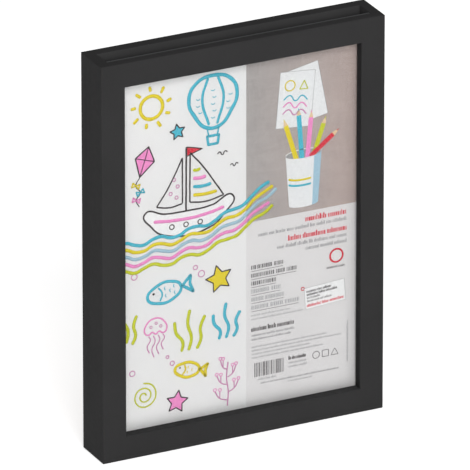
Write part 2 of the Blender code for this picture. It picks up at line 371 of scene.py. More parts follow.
# A material in the making. All patterns are in metres on the object's own coordinates. A noise is
# given by its scale, lowest and highest value, detail and stretch, which makes grain.
class Paint(Nodes):
    def __init__(self, name, roughness, specular, metallic=0.0):
        self.material = bpy.data.materials.new(name)
        self.material.use_nodes = True
        super().__init__(self.material.node_tree)
        self.shader = self.tree.nodes["Principled BSDF"]
        self.fix("Roughness", roughness)
        self.fix("Specular IOR Level", specular)
        self.fix("Metallic", metallic)
        self.place = self.add("ShaderNodeTexCoord")["Object"]

    def fix(self, name, value):
        self.give(self.shader, {name: value})

    def noise(self, scale, low, high, detail=3.0, stretch=(1, 1, 1)):
        mapped = self.add("ShaderNodeMapping", {"Vector": self.place, "Scale": stretch})[0]
        noise = self.add("ShaderNodeTexNoise", {"Vector": mapped, "Scale": scale, "Detail": detail})
        return self.spread(noise["Fac"], *noiseSpan, low, high)

    def tint(self, color, *noises, shade=None):
        strength = shade
        for noise in noises:
            noise = self.noise(*noise)
            strength = self.calc("MULTIPLY", strength, noise) if strength else noise
        self.fix("Base Color", self.vector("SCALE", color, Scale=strength))

    def bump(self, scale, strength, distance, *more):
        inputs = {"Height": self.noise(scale, 0.0, 1.0, *more), "Strength": strength}
        self.fix("Normal", self.add("ShaderNodeBump", {**inputs, "Distance": distance})[0])


# A colour as picked on screen, 0 to 255, made linear.
def screen(*color):
    shares = [part / 255 for part in color]
    return tuple(s / 12.92 if s <= 0.04045 else ((s + 0.055) / 1.055) ** 2.4 for s in shares)


# The finishes: roughness, specular level and metallic, colour, the noises that shade it, the one
# that varies the roughness, and the scale, strength, distance and noise of the bumps.
lacquerFinish = {
    "shader": (0.55, 0.01),
    "shades": [(18.0, 0.94, 1.06), (2600.0, 0.9, 1.1, 1.0)],
    "rough": (240.0, 0.5, 0.62),
    "bump": (900.0, 0.12, 0.04 * mm, 2.0),
}
finishes = {
    "blackLacquer": {**lacquerFinish, "color": (0.0297, 0.0293, 0.0297)},
    # a darker copy of the lacquer: painted shade on the side of the lips that looks at the window
    "shadedLipLacquer": {**lacquerFinish, "color": (0.0195, 0.0192, 0.0195)},
    # a paler copy of the lacquer: painted light and shade inside the slot
    "thinInnerLacquer": {**lacquerFinish, "color": (0.0565, 0.056, 0.0565)},
    "sawnAcrylicEdge": {
        "shader": (0.35, 0.5),
        "color": (0.030, 0.032, 0.033),
        "shades": [(1500.0, 0.8, 1.2)],
        "rough": (900.0, 0.3, 0.5),
        "bump": (2400.0, 0.3, 0.05 * mm, 1.0),
    },
    "greyBoard": {
        "shader": (0.88, 0.2),
        "color": (0.050, 0.050, 0.051),
        "shades": [(1500.0, 0.8, 1.15, 3.0, (1.0, 0.02, 0.02)), (700.0, 0.85, 1.12)],
        "bump": (1800.0, 0.4, 0.08 * mm),
    },
    "whitePaper": {
        "shader": (0.6, 0.25),
        "color": (0.672, 0.667, 0.665),
        "shades": [(30.0, 0.99, 1.0), (1400.0, 0.985, 1.0)],
        "bump": (2200.0, 0.1, 0.03 * mm),
    },
    "brownHardboard": {
        "shader": (0.7, 0.3),
        "color": (0.235, 0.135, 0.068),
        "shades": [(90.0, 0.82, 1.12), (1300.0, 0.78, 1.18, 5.0)],
        "rough": (160.0, 0.55, 0.8),
        "bump": (1500.0, 0.25, 0.08 * mm),
    },
    "zincSteel": {
        "shader": (0.34, 0.5, 1.0),
        "color": (0.63, 0.64, 0.66),
        "shades": [(520.0, 0.88, 1.05, 1.0)],
        "rough": (700.0, 0.26, 0.46),
        "bump": (1600.0, 0.15, 0.03 * mm),
    },
    "darkSteel": {
        "shader": (0.42, 0.5, 1.0),
        "color": (0.30, 0.30, 0.31),
        "shades": [(900.0, 0.75, 1.15)],
        "rough": (1200.0, 0.32, 0.55),
        "bump": (3000.0, 0.2, 0.03 * mm, 3.0, (1, 0.1, 1)),
    },
}


# Painted light and shade inside the slot: a paler copy of the lacquer stands in for light, paler
# still near the top, and painted shade darkens it deeper down. The depths give two heights and the
# share of the colour at the lower one.
def makeFinish(name, paintedShadeDepths=None):
    values = finishes[name]
    paint = Paint(name, *values["shader"])
    shade = None
    if paintedShadeDepths:
        up = paint.add("ShaderNodeSeparateXYZ", {0: paint.place})["Z"]
        shade = paint.spread(up, *paintedShadeDepths, 1.0)
    paint.tint(values["color"], *values["shades"], shade=shade)
    if "rough" in values:
        paint.fix("Roughness", paint.noise(*values["rough"]))
    paint.bump(*values["bump"])
    return paint.material


acrylicLook = {
    "shader": (0.03, 0.5),
    "tint": (0.97, 0.98, 0.985, 1.0),
    "clear": (0.995, 0.996, 0.9955, 1.0),
    "index": 1.49,
    "glossIndex": 1.25,
    "rough": (60.0, 0.02, 0.045),
}


def makeAcrylic():
    paint = Paint("clearAcrylic", *acrylicLook["shader"])
    paint.fix("Base Color", acrylicLook["tint"])
    paint.fix("IOR", acrylicLook["index"])
    paint.fix("Roughness", paint.noise(*acrylicLook["rough"]))
    clear = paint.add("ShaderNodeBsdfTransparent", {"Color": acrylicLook["clear"]})[0]
    gloss = paint.add("ShaderNodeFresnel", {"IOR": acrylicLook["glossIndex"]})[0]
    inputs = {0: gloss, 1: clear, 2: paint.shader.outputs[0]}
    mixed = paint.add("ShaderNodeMixShader", inputs)[0]
    paint.give(paint.tree.nodes["Material Output"], {"Surface": mixed})
    return paint.material


# Ink on paper: a little uneven, as a marker or a press leaves it.
inkLook = {
    "shader": (0.5, 0.2),
    "streaks": (420.0, 0.06),        # scale and strength
    "grain": (2200.0, 0.97, 1.03, 1.0),
    "rough": (300.0, 0.45, 0.6),
}
# The printed panels. The one behind the picture looks woven, and is warmer towards the right.
panelLook = {
    "pale": (204, 202, 202),
    "paleStreaks": (60.0, 0.015),
    "left": (158, 153, 151),
    "right": (166, 151, 146),
    "blend": (10 * mm, 95 * mm),
    "shader": (0.55, 0.2),
    "weave": (900.0, 0.93, 1.05, 3.0),
    "threads": ((1.0, 1.0, 0.12), (0.12, 1.0, 1.0)),
    "clouds": (26.0, 0.95, 1.04),
}


def makeInk(name, color, streaks=inkLook["streaks"]):
    scale, strength = streaks
    paint = Paint(name, *inkLook["shader"])
    paint.tint(screen(*color), (scale, 1 - strength, 1 + strength), inkLook["grain"])
    paint.fix("Roughness", paint.noise(*inkLook["rough"]))
    return paint.material


def makeWarmPanel():
    paint = Paint("warmPanelInk", *panelLook["shader"])
    along = paint.add("ShaderNodeSeparateXYZ", {0: paint.place})["X"]
    ends = {key: (*screen(*panelLook[side]), 1) for key, side in (("A", "left"), ("B", "right"))}
    share = paint.spread(along, *panelLook["blend"])
    mixed = paint.add("ShaderNodeMix", {"Factor": share, **ends}, data_type="RGBA")["Result"]
    weave = [(*panelLook["weave"], thread) for thread in panelLook["threads"]]
    paint.tint(mixed, *weave, panelLook["clouds"])
    return paint.material


# A tree of geometry nodes. It takes its sizes and its source object as named inputs.
class Shaper(Nodes):
    def __init__(self, name, source, sizes):
        super().__init__(bpy.data.node_groups.new(name, "GeometryNodeTree"))
        new = self.tree.interface.new_socket
        kinds = {"Geometry": "Geometry", source: "Object", "Material": "Material"}
        for label, kind in {**kinds, **dict.fromkeys(sizes, "Float")}.items():
            socket = new(label, in_out="INPUT", socket_type="NodeSocket" + kind)
            if label in sizes:
                socket.default_value = sizes[label]
        new("Geometry", in_out="OUTPUT", socket_type="NodeSocketGeometry")
        self.given = self.add("NodeGroupInput")
        self.source = self.add("GeometryNodeObjectInfo", {"Object": self.given[source]})["Geometry"]

    def geo(self, kind, inputs=None, **settings):
        return self.add("GeometryNode" + kind, inputs, **settings)[0]

    def choose(self, switch, no, yes):
        return self.geo("Switch", {"Switch": switch, "False": no, "True": yes}, input_type="FLOAT")

    def xyz(self, **inputs):
        return self.add("ShaderNodeCombineXYZ", inputs)[0]

    def setPlace(self, geometry, **inputs):
        return self.geo("SetPosition", {"Geometry": geometry, **inputs})

    def drift(self, place, scale):
        inputs = {"Vector": place, "W": self.given["Seed"], "Scale": scale, "Detail": 1.0}
        return self.add("ShaderNodeTexNoise", inputs, noise_dimensions="4D")

    def finished(self, geometry):
        whole = self.geo("RealizeInstances", {"Geometry": geometry})
        painted = self.geo("SetMaterial", {"Geometry": whole, "Material": self.given["Material"]})
        self.add("NodeGroupOutput", {"Geometry": painted})
        return self.tree


# Runs a tree on a mesh and a source object, which it uses up, and gives back a plain mesh.
def grow(tree, source, material, values=None, points=None):
    holder = linked("grower", points or bpy.data.meshes.new("grower"))
    modifier = holder.modifiers.new("nodes", "NODES")
    modifier.node_group = tree
    values = {**(values or {}), "Material": material}
    for item in tree.interface.items_tree:
        if item.in_out == "INPUT" and item.socket_type == "NodeSocketObject":
            modifier[item.identifier] = source
        elif item.in_out == "INPUT" and item.name in values:
            modifier[item.identifier] = values[item.name]
    result = evaluated(holder)
    bpy.data.objects.remove(holder)
    bpy.data.objects.remove(source)
    return result


# A moulding: a profile swept along a line, its ends cut on the mitre.
def buildMouldingTree():
    sizes = {"Length": 0.3, "Start Mitre": 1.0, "End Mitre": 1.0, "Clearance": 0.00002}
    tree = Shaper("mitredMoulding", "Profile", sizes)
    given, calc = tree.given, tree.calc
    line = tree.geo("CurvePrimitiveLine", {"End": tree.xyz(Z=given["Length"])})
    swept = {"Curve": line, "Profile Curve": tree.source, "Fill Caps": True}
    place = tree.add("ShaderNodeSeparateXYZ", {0: tree.geo("InputPosition")})
    cuts = []
    for mitre in ("Start Mitre", "End Mitre"):
        slope = calc("MULTIPLY", place["X"], given[mitre])
        cuts.append(calc("ADD", slope, given["Clearance"]))
    atEnd = calc("GREATER_THAN", place["Z"], calc("MULTIPLY", given["Length"], 0.5))
    cut = tree.choose(atEnd, cuts[0], calc("MULTIPLY", cuts[1], -1.0))
    return tree.finished(tree.setPlace(tree.geo("CurveToMesh", swept), Offset=tree.xyz(Z=cut)))


# Small hardware: one shape set on many points, each with its own turn about Y and its own length.
def buildHardwareTree():
    tree = Shaper("setHardware", "Shape", {"Scale": 1.0})
    turn, length = (
        tree.geo("InputNamedAttribute", {"Name": name}, data_type="FLOAT")
        for name in ("turn", "length")
    )
    scale = tree.given["Scale"]
    return tree.finished(tree.geo("InstanceOnPoints", {
        "Points": tree.geo("MeshToPoints", {"Mesh": tree.given["Geometry"]}),
        "Instance": tree.source,
        "Rotation": tree.add("FunctionNodeEulerToRotation", {0: tree.xyz(Y=turn)})[0],
        "Scale": tree.xyz(X=scale, Y=length, Z=scale),
    }))


# A pen stroke: a thin raised ribbon with round ends, that wanders and swells a little.
def buildStrokeTree():
    sizes = {
        "Spacing": 0.00035, "Thickness": 0.00002, "Wander": 0.00012, "Swell": 0.16, "Seed": 4.0,
        "Drift Scale": 90.0, "Swell Scale": 260.0, "Taper": 0.97,
    }
    tree = Shaper("penStroke", "Lines", sizes)
    given, calc = tree.given, tree.calc
    inputs = {"Curve": tree.source, "Length": given["Spacing"]}
    stepped = tree.geo("ResampleCurve", inputs, mode="LENGTH")
    position = tree.geo("InputPosition")
    drift = tree.drift(position, given["Drift Scale"])["Color"]
    centred = tree.vector("SUBTRACT", drift, (0.5, 0.5, 0.5))
    flat = tree.vector("MULTIPLY", centred, (2, 2, 0))
    wandering = tree.setPlace(stepped, Offset=tree.vector("SCALE", flat, Scale=given["Wander"]))
    upright = tree.geo("SetCurveNormal", {"Curve": wandering}, mode="Z_UP")
    radius = tree.geo("InputRadius")
    along = tree.add("GeometryNodeSplineParameter")["Length"]
    fromEnd = calc("SUBTRACT", tree.geo("SplineLength"), along)
    toEnd = calc("MINIMUM", along, fromEnd)
    fromRim = calc("SUBTRACT", 1.0, calc("MINIMUM", calc("DIVIDE", toEnd, radius), 1.0))
    square = calc("MULTIPLY", calc("POWER", fromRim, 2.0), given["Taper"])
    roundEnd = calc("SQRT", calc("SUBTRACT", 1.0, square))
    taper = tree.choose(tree.geo("InputSplineCyclic"), roundEnd, 1.0)
    swell = calc("SUBTRACT", tree.drift(position, given["Swell Scale"])["Fac"], 0.5)
    swell = calc("ADD", calc("MULTIPLY", swell, given["Swell"]), 1.0)
    ribbon = tree.geo("CurveToMesh", {
        "Curve": upright,
        "Profile Curve": tree.geo("CurvePrimitiveQuadrilateral", {"Width": 2.0, "Height": 1.0}),
        "Scale": calc("MULTIPLY", calc("MULTIPLY", radius, taper), swell),
        "Fill Caps": True,
    })
    place = tree.add("ShaderNodeSeparateXYZ", {0: position})
    top = calc("MULTIPLY", calc("GREATER_THAN", place["Z"], 0.0), given["Thickness"])
    spot = tree.xyz(X=place["X"], Y=place["Y"], Z=top)
    return tree.finished(tree.setPlace(ribbon, Position=spot))


# A filled area: closed lines turned into a thin raised plate.
def buildAreaTree():
    tree = Shaper("printedArea", "Outlines", {"Thickness": 0.00002, "Weld": 0.000001})
    filled = tree.geo("FillCurve", {"Curve": tree.source}, mode="NGONS")
    lift = tree.xyz(Z=tree.given["Thickness"])
    inputs = {"Mesh": filled, "Offset": lift, "Offset Scale": 1.0, "Individual": False}
    plates = tree.tree.nodes.new("GeometryNodeJoinGeometry")
    tree.give(plates, {0: tree.geo("ExtrudeMesh", inputs)})
    tree.give(plates, {0: tree.geo("FlipFaces", {"Mesh": filled})})
    inputs = {"Geometry": plates.outputs[0], "Distance": tree.given["Weld"]}
    return tree.finished(tree.geo("MergeByDistance", inputs))


# Rails. The profile runs in from the outer side and back from the front.
rails = {
    "edgeRadius": 1.0 * mm,
    "cornerRadius": 0.9 * mm,
    "slotEdgeRadius": 0.5 * mm,
    "fineEdge": 0.15 * mm,
    "seam": 0.006 * mm,
    "cadGap": 0.3 * mm,
    # painted shade in the slot: how deep it reaches, and the share of the colour left at that depth
    "slotPaintedShadeDepth": 11.0 * mm,
    "slotPaintedShadeShare": 0.55,
    "grooveDepth": 3.5 * mm,
    "grooveFront": 12.8 * mm,
    "grooveBack": 14.6 * mm,
    "pocketPlay": 0.06 * mm,
}
spare = 1.0 * mm          # how far a cutter stands out
smoothSteps = 10          # steps between two points of a smooth line
sides = {"left": 1, "right": -1}


# An object with a line for each row: its points, width, and whether it is closed and smooth.
def curveObject(rows, unit=1.0):
    curve = bpy.data.curves.new("lines", "CURVE")
    curve.dimensions = "3D"
    curve.resolution_u = smoothSteps
    for points, width, closed, smooth in rows:
        spline = curve.splines.new("BEZIER" if smooth else "POLY")
        spots = spline.bezier_points if smooth else spline.points
        spots.add(len(points) - 1)
        for spot, (x, y) in zip(spots, points):
            spot.co = (x * unit, y * unit, 0) if smooth else (x * unit, y * unit, 0, 1)
            spot.radius = width / 2 * unit
            if smooth:
                spot.handle_left_type = spot.handle_right_type = "AUTO"
        spline.use_cyclic_u = closed
    return linked("lines", curve)


def moulding(outline, length, startMitre, endMitre):
    sizes = {"Length": length, "Start Mitre": startMitre, "End Mitre": endMitre}
    profile = curveObject([(roundedOutline(outline), 1.0, True, False)])
    return grow(mouldingTree, profile, lacquer, {**sizes, "Clearance": rails["seam"]})


# Gives the paler lacquer, with its painted light and shade, to the faces that look into the slot,
# behind the lips, and a darker copy, painted shade, to the side of the lips that looks at the window.
def paintLightAndShadeInside(mesh, wayIn, above, behind):
    mesh.materials.clear()
    for coat in (lacquer, paintedLightSlotLacquer, paintedShadeLipLacquer):
        mesh.materials.append(coat)
    for face in mesh.polygons:
        inside = face.normal.dot(Vector(wayIn)) > shaping["squareOn"] and face.center.z > above
        # index 1 is the slot's painted light and shade, index 2 the painted shade on the lips
        face.material_index = (1 if face.center.y > behind else 2) if inside else 0


# A tool that rounds the sharp edge of a block at a corner in two axes. The signs of the radii say
# which way the block lies.
def roundTool(corner, radii, plane, low, high):
    (x, y), (across, along) = corner, radii
    outX, outY = x - math.copysign(spare, across), y - math.copysign(spare, along)
    quarter = arc(0, 0, 1, 0, 90, shaping["roundSteps"])
    outline = [(outX, outY), (outX, y + along)]
    outline += [(x + across * (1 - cos), y + along * (1 - sin)) for cos, sin in quarter]
    return prism(outline + [(x + across, outY)], plane, low - spare, high + spare)


def makeRails(pockets):
    low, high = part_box("left_rail")
    stripLow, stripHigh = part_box("top_back_rail")
    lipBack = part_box("top_front_rail")[1].y
    half, top, face = -low.x, high.z, high.x - low.x
    front, back = low.y, high.y
    wall = half - stripHigh.x - rails["cadGap"]
    edge, fine, seam = rails["edgeRadius"], rails["fineEdge"], rails["seam"]
    grooveFront, grooveBack = rails["grooveFront"], rails["grooveBack"]

    def groove(rim):
        deep = rim - rails["grooveDepth"]
        return [
            (rim, grooveFront, fine), (deep, grooveFront, 0),
            (deep, grooveBack, 0), (rim, grooveBack, fine),
        ]

    def addRail(name, mesh, tools, wayIn=None, above=0.0):
        mesh = worked(mesh, pockets[name] + tools)
        if wayIn:
            paintLightAndShadeInside(mesh, wayIn, above, lipBack)
        addPiece(name + "_lacquered", mesh, [], "black_lacquer", "frame", name)

    eased = rails["cornerRadius"]
    feet, heads = (
        {word: roundTool((-side * half, level), (side * eased, up), "xz", front, back)
         for word, side in sides.items()}
        for level, up in ((0, eased), (top, -eased))
    )
    body = [(0, front, edge), (face, front, edge), (face, lipBack, fine), (wall, lipBack, 0)]
    wallEnd = [(wall, back, fine), (0, back, edge)]
    mesh = moulding(body + groove(wall) + wallEnd, 2 * half, 1.0, 1.0)
    mesh = placed(mesh, (0, 0, 1), (1, 0, 0), (-half, 0, 0))
    addRail("bottom_rail", mesh, list(feet.values()))

    # the top front rail takes the front of each upper corner, the side walls run on behind it
    slope = [
        (-spare, top + spare - seam), (face + spare, top - face - spare - seam),
        (face + spare, top + spare), (-spare, top + 2 * spare),
    ]
    channel = oblong(wall - rails["grooveDepth"], grooveFront, wall + spare, grooveBack)
    for word, side in sides.items():
        parts = [
            moulding(body + wallEnd, top, 1.0, 0.0),
            prism(slope, "xz", front - spare, lipBack + 2 * seam),
            prism(channel, "xy", -spare, stripLow.z),
        ]
        for part in parts:
            placed(part, (side, 0, 0), (0, 0, 1), (-side * half, 0, 0))
        backEdge = roundTool((back, top), (-edge, -edge), "yz", -half, half)
        tools = parts[1:] + [feet[word], heads[word], backEdge]
        addRail(word + "_rail", parts[0], tools, (side, 0, 0))

    outline = [(0, front, edge), (face, front, edge), (face, lipBack, fine), (0, lipBack, fine * 2)]
    mesh = placed(moulding(outline, 2 * half, 1.0, 1.0), (0, 0, -1), (1, 0, 0), (-half, 0, top))
    addRail("top_front_rail", mesh, list(heads.values()))

    tall = stripHigh.z - stripLow.z
    outline = [(0, stripLow.y, rails["slotEdgeRadius"]), (tall, stripLow.y, fine), *groove(tall)]
    outline += [(tall, stripHigh.y, fine), (0, stripHigh.y, edge)]
    reach = stripHigh.x + rails["cadGap"]
    mesh = placed(moulding(outline, 2 * reach, 0.0, 0.0), (0, 0, -1), (1, 0, 0), (-reach, 0, top))
    addRail("top_back_rail", mesh, [], (0, -1, 0), stripLow.z)
    print("rails made")


# Fasteners: V nails across the mitres and staples through the ends of the back strip.
fasteners = {
    "nailLeg": 2.6 * mm,
    "nailGauge": 0.7 * mm,
    "stapleCrown": 10.0 * mm,
    "stapleLeg": 8.0 * mm,
    "stapleGauge": 0.9 * mm,
    "stapleBend": 0.7 * mm,
    "bendSteps": 4,
    "innerBend": 0.25,      # share of the bend
    "ease": 0.125,          # share of the gauge
}


def nailOutline():
    leg, gauge = fasteners["nailLeg"], fasteners["nailGauge"]
    return [
        (0.0, 0.0), (-leg, leg), (-leg - gauge, leg),
        (-gauge, 0.0), (-leg - gauge, -leg), (-leg, -leg),
    ]


# A staple seen from above, with play around it where it is a pocket.
def stapleOutline(bend, play=0.0, top=0.0):
    reach, leg = fasteners["stapleCrown"] / 2 + play, fasteners["stapleLeg"] + play
    gauge = fasteners["stapleGauge"] + play
    inner, fold = reach - gauge, bend * fasteners["innerBend"]
    return roundedOutline([
        (-reach, top, bend), (-reach, -leg, 0), (-inner, -leg, 0), (-inner, -gauge, fold),
        (inner, -gauge, fold), (inner, -leg, 0), (reach, -leg, 0), (reach, top, bend),
    ], fasteners["bendSteps"])


# One piece of a shape at each place, with a turn about Y and a length.
def setHardware(shape, rows, material):
    places, turns, lengths = zip(*rows)
    points = meshFrom("places", places, [])
    for name, values in (("turn", turns), ("length", lengths)):
        points.attributes.new(name, "FLOAT", "POINT").data.foreach_set("value", values)
    return grow(hardwareTree, linked("shape", shape), material, None, points)


def nodesWith(word):
    return sorted(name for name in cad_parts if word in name)


# Where each V nail stands: its place, its turn and its two ends. The V lies evenly about its box.
def nailSpots():
    spots = {}
    for name in nodesWith("v_nail_"):
        low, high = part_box(name)
        turn = -math.atan2(-1 if "top" in name else 1, 1 if "left" in name else -1)
        spin = Matrix.Rotation(turn, 3, "Y")
        corners = [spin @ Vector((x, 0, z)) for x, z in nailOutline()]
        x = low.x - min(c.x for c in corners)
        z = low.z - min(c.z for c in corners)
        spots[name] = (x, z, turn, low.y, high.y)
    return spots


def makePockets():
    pockets = {name: [] for name in nodesWith("_rail")}
    play = rails["pocketPlay"]
    tools = {}
    for name, (x, z, turn, low, high) in nailSpots().items():
        tool = prism(grown(nailOutline(), play), "xz", low - play, high + spare)
        tools[name] = shifted(tool, x, 0, z, turn)
    for name in nodesWith("staple_"):
        low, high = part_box(name)
        tool = prism(stapleOutline(0, play, spare), "xy", low.z - play, high.z + play)
        tools[name] = shifted(tool, middle(name)[0], high.y, 0)
    for name, tool in tools.items():
        across = "top_back_rail" if "staple" in name else "top_front_rail"
        across = "bottom_rail" if "bottom" in name else across
        for rail in (("left" if "left" in name else "right") + "_rail", across):
            pockets[rail].append(tool)
    return pockets


def makeFasteners():
    rows = [((x, low, z), turn, high - low) for x, z, turn, low, high in nailSpots().values()]
    mesh = setHardware(prism(nailOutline(), "xz", 0.0, 1.0), rows, darkSteel)
    addPiece("v_nails", mesh, [], "dark_steel", "frame", *nodesWith("v_nail_"))
    gauge = fasteners["stapleGauge"]
    shape = prism(stapleOutline(fasteners["stapleBend"]), "xy", -gauge / 2, gauge / 2)
    rows = []
    for name in nodesWith("staple_"):
        x, z = middle(name)
        rows.append(((x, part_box(name)[1].y, z), 0.0, 1.0))
    mesh = setHardware(worked(shape, ease=gauge * fasteners["ease"]), rows, darkSteel)
    addPiece("staples", mesh, [], "dark_steel", "frame", *nodesWith("staple_"))
    print("fasteners made")


# The window, its spacers and the back panel.
window = {
    "edge": 0.12 * mm,
    "boardEdge": 0.2 * mm,
    "panelEdge": 0.25 * mm,
    "footHole": 0.9 * mm,
}


# The box of a node as a block with eased edges.
def block(node, ease, tools=()):
    low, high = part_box(node)
    outline = oblong(low.x, low.z, high.x, high.z)
    return worked(prism(outline, "xz", low.y, high.y), tools, ease)


def makeWindow():
    mesh = block("glazing", window["edge"])
    for face in mesh.polygons:
        face.material_index = 0 if abs(face.normal.y) > shaping["squareOn"] else 1
    coats = [acrylic, sawnAcrylic]
    addPiece("acrylic_window", mesh, coats, "clear_acrylic", "glazing", "glazing")
    for word in ("left", "right", "bottom"):
        node = word + "_spacer"
        mesh = block(node, window["boardEdge"])
        addPiece(node + "_board", mesh, [greyBoard], "grey_board", "frame", node)


def makePanel():
    low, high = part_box("back_panel")
    wide = rivets["foot"] + 2 * rivets["play"]
    slim = rivets["shank"] + rivets["play"]
    step = low.y + window["footHole"]
    rings = [(wide, low.y - spare), (wide, step), (slim, step), (slim, high.y + spare)]
    holes = []
    for name in nodesWith("_rivet_"):
        x, z = middle(name)
        holes.append(shifted(turnedMesh(rings, rivets["steps"]), x, 0, z))
    mesh = block("back_panel", window["panelEdge"], holes)
    addPiece("back_panel_hardboard", mesh, [hardboard], "brown_hardboard", "frame", "back_panel")
    print("window, spacers and panel made")


# Rivets, turn tabs and hangers. The foot of a rivet has a small hollow.
rivets = {
    "shank": 1.5 * mm,
    "head": 3.1 * mm,
    "headHeight": 1.0 * mm,
    "foot": 2.6 * mm,
    "footHeight": 0.5 * mm,
    "hollow": ((0.45, 3), (0.6, 0.5), (0.8, 0)),     # share of the shank, and depth in plays
    "play": 0.1 * mm,
    "flat": 0.08,                    # share of the head that is flat on top
    "crownSteps": 6,
    "crownStart": 0.6,               # of a step
    "steps": 32,
    "sharpAngle": 50,
}


def makeRivets():
    nodes = nodesWith("_rivet_")
    low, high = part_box(nodes[0])
    shank, foot, head, rim = (rivets[word] for word in ("shank", "foot", "head", "play"))
    headFrom = high.y - rivets["headHeight"]
    footTo = low.y + rivets["footHeight"]
    rings = [(shank * share, low.y + depth * rim) for share, depth in rivets["hollow"]] + [
        (foot - rim, low.y), (foot, low.y + rim), (foot, footTo - rim), (foot - rim, footTo),
        (shank, footTo), (shank, headFrom), (head - rim, headFrom), (head, headFrom + rim),
    ]
    steps = rivets["crownSteps"] + 1
    for step in range(steps):
        angle = math.pi / 2 * (step + rivets["crownStart"]) / steps
        crown = (rivets["headHeight"] - 2 * rim) * math.sin(angle)
        rings.append((head * math.cos(angle), headFrom + 2 * rim + crown))
    rings.append((head * rivets["flat"], high.y))
    shape = shaded(turnedMesh(rings, rivets["steps"]), rivets["sharpAngle"])
    rows = [((x, 0.0, z), 0.0, 1.0) for x, z in map(middle, nodes)]
    addPiece("rivets", setHardware(shape, rows, zinc), [], "zinc_steel", "frame", *nodes)


tabs = {
    "reach": 14.0 * mm,
    "eye": 5.0 * mm,
    "tip": 3.5 * mm,
    "hole": 1.8 * mm,
    "ease": 0.14 * mm,
    "beadInset": 1.3 * mm,
    "beadDepth": 0.16 * mm,
    "arcSteps": 14,
}


# The outline of two joined discs, drawn in by an inset.
def dropOutline(inset):
    eye, tip, steps = tabs["eye"] - inset, tabs["tip"] - inset, tabs["arcSteps"]
    tipAt = tabs["reach"] - tabs["tip"]
    lean = math.degrees(math.acos((eye - tip) / tipAt))
    return arc(tipAt, 0, tip, -lean, lean, steps) + arc(0, 0, eye, lean, 360 - lean, 2 * steps)


def makeTabs():
    for word in ("left_lower", "left_upper", "right_lower", "right_upper", "top", "bottom"):
        node = "turn_tab_" + word
        low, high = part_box(node)
        thick = high.y - low.y
        x, z = middle("tab_rivet_" + word)
        plate = prism(dropOutline(0.0), "xz", 0.0, thick)
        bead = prism(dropOutline(tabs["beadInset"]), "xz", thick - tabs["beadDepth"], thick + spare)
        rings = [(tabs["hole"], -spare), (tabs["hole"], thick + spare)]
        mesh = worked(plate, [bead, turnedMesh(rings, rivets["steps"])], tabs["ease"])
        outX, outZ = (round(a - b, 4) for a, b in zip(middle(node), (x, z)))
        shifted(mesh, x, low.y, z, -math.atan2(outZ, outX))
        addPiece(node + "_steel", mesh, [zinc], "zinc_steel", "tab_" + word, node)
    print("tabs made")


hanger = {
    "length": 44.0 * mm,
    "width": 9.0 * mm,
    "corner": 0.25,                  # share of the width
    "thickness": 0.8 * mm,
    "foot": 8.0 * mm,
    "ramp": 2.0 * mm,
    "rise": 1.6 * mm,
    "pitch": 2.8 * mm,
    "depth": 1.5 * mm,
    "tooth": 1.12,                   # steepness of a tooth, over 1 leaves a flat between two
    "toothShares": (0.054, 0.5, 0.946),
    "hole": 1.8 * mm,
    "holeSteps": 24,
    "ease": 0.12 * mm,
    "sharpAngle": 32,
    "bendSteps": 8,
}


# The half length of the raised part with the teeth, and their number.
def toothedPart():
    flat = hanger["length"] / 2 - hanger["foot"] - hanger["ramp"]
    return flat, int(2 * flat / hanger["pitch"])


# A section of the strip at a place along it. The bends to the feet are smooth.
def hangerSection(along):
    half, corner = hanger["width"] / 2, hanger["width"] * hanger["corner"]
    near = max(0.0, abs(along) - (hanger["length"] / 2 - corner))
    drawn = corner - math.sqrt(max(0.0, corner * corner - near * near))
    flat, count = toothedPart()
    share = min(max((flat + hanger["ramp"] - abs(along)) / hanger["ramp"], 0.0), 1.0)
    rise = hanger["rise"] * share * share * (3 - 2 * share)
    top = rise + hanger["thickness"]
    place = along / hanger["pitch"] + count / 2
    tooth = 0.0
    if 0 < place < count:
        tooth = max(0.0, 1 - abs(2 * (place - math.floor(place)) - 1) * hanger["tooth"])
    lower = -half + drawn + hanger["depth"] * tooth
    upper = half - drawn
    return [(along, rise, lower), (along, rise, upper), (along, top, upper), (along, top, lower)]


def hangerMesh():
    end, corner = hanger["length"] / 2, hanger["width"] * hanger["corner"]
    flat, count = toothedPart()
    stations = set()
    for step in range(hanger["bendSteps"] + 1):
        share = step / hanger["bendSteps"]
        stations.add(flat + hanger["ramp"] * (1 - share))
        stations.add(end - corner * (1 - math.cos(math.pi / 2 * share)))
    stations |= {-s for s in stations}
    for tooth in range(count + 1):
        edge = tooth - count / 2
        stations.add(edge * hanger["pitch"])
        for share in hanger["toothShares"]:
            spot = (edge + share) * hanger["pitch"]
            if abs(spot) < flat:
                stations.add(round(spot, 9))
    return lofted("hanger", [hangerSection(along) for along in sorted(stations)])


def makeHangers():
    arm = (hanger["length"] - hanger["foot"]) / 2
    rings = [(hanger["hole"], -spare), (hanger["hole"], 2 * spare)]
    for word, turn in (("upright", 0.0), ("sideways", math.pi / 2)):
        node = "hanger_" + word
        holes = [shifted(turnedMesh(rings, hanger["holeSteps"]), x, 0, 0) for x in (-arm, arm)]
        mesh = worked(hangerMesh(), holes, hanger["ease"], hanger["sharpAngle"])
        x, z = middle(node)
        shifted(mesh, x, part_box(node)[0].y, z, turn)
        addPiece(node + "_steel", mesh, [zinc], "zinc_steel", "frame", node)
    print("hangers made")


# The insert sheet. It bows back a little between its edges.
sheet = {"bow": 0.25 * mm, "columns": 30, "rows": 42, "sharpAngle": 30}


def sheetFront(x):
    low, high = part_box("insert_sheet")
    share = x / high.x
    return low.y + sheet["bow"] * max(0.0, 1 - share * share)


# A plate that follows the sheet's face, with its front at a lift from the paper.
def sheetPlate(left, right, bottom, top, lift, thick, columns, rows):
    places = [left + (right - left) * column / columns for column in range(columns + 1)]
    rings = []
    for row in range(rows + 1):
        z = bottom + (top - bottom) * row / rows
        front = [(x, sheetFront(x) - lift, z) for x in places]
        rings.append(front + [(x, y + thick, z) for x, y, z in reversed(front)])
    return lofted("plate", rings)


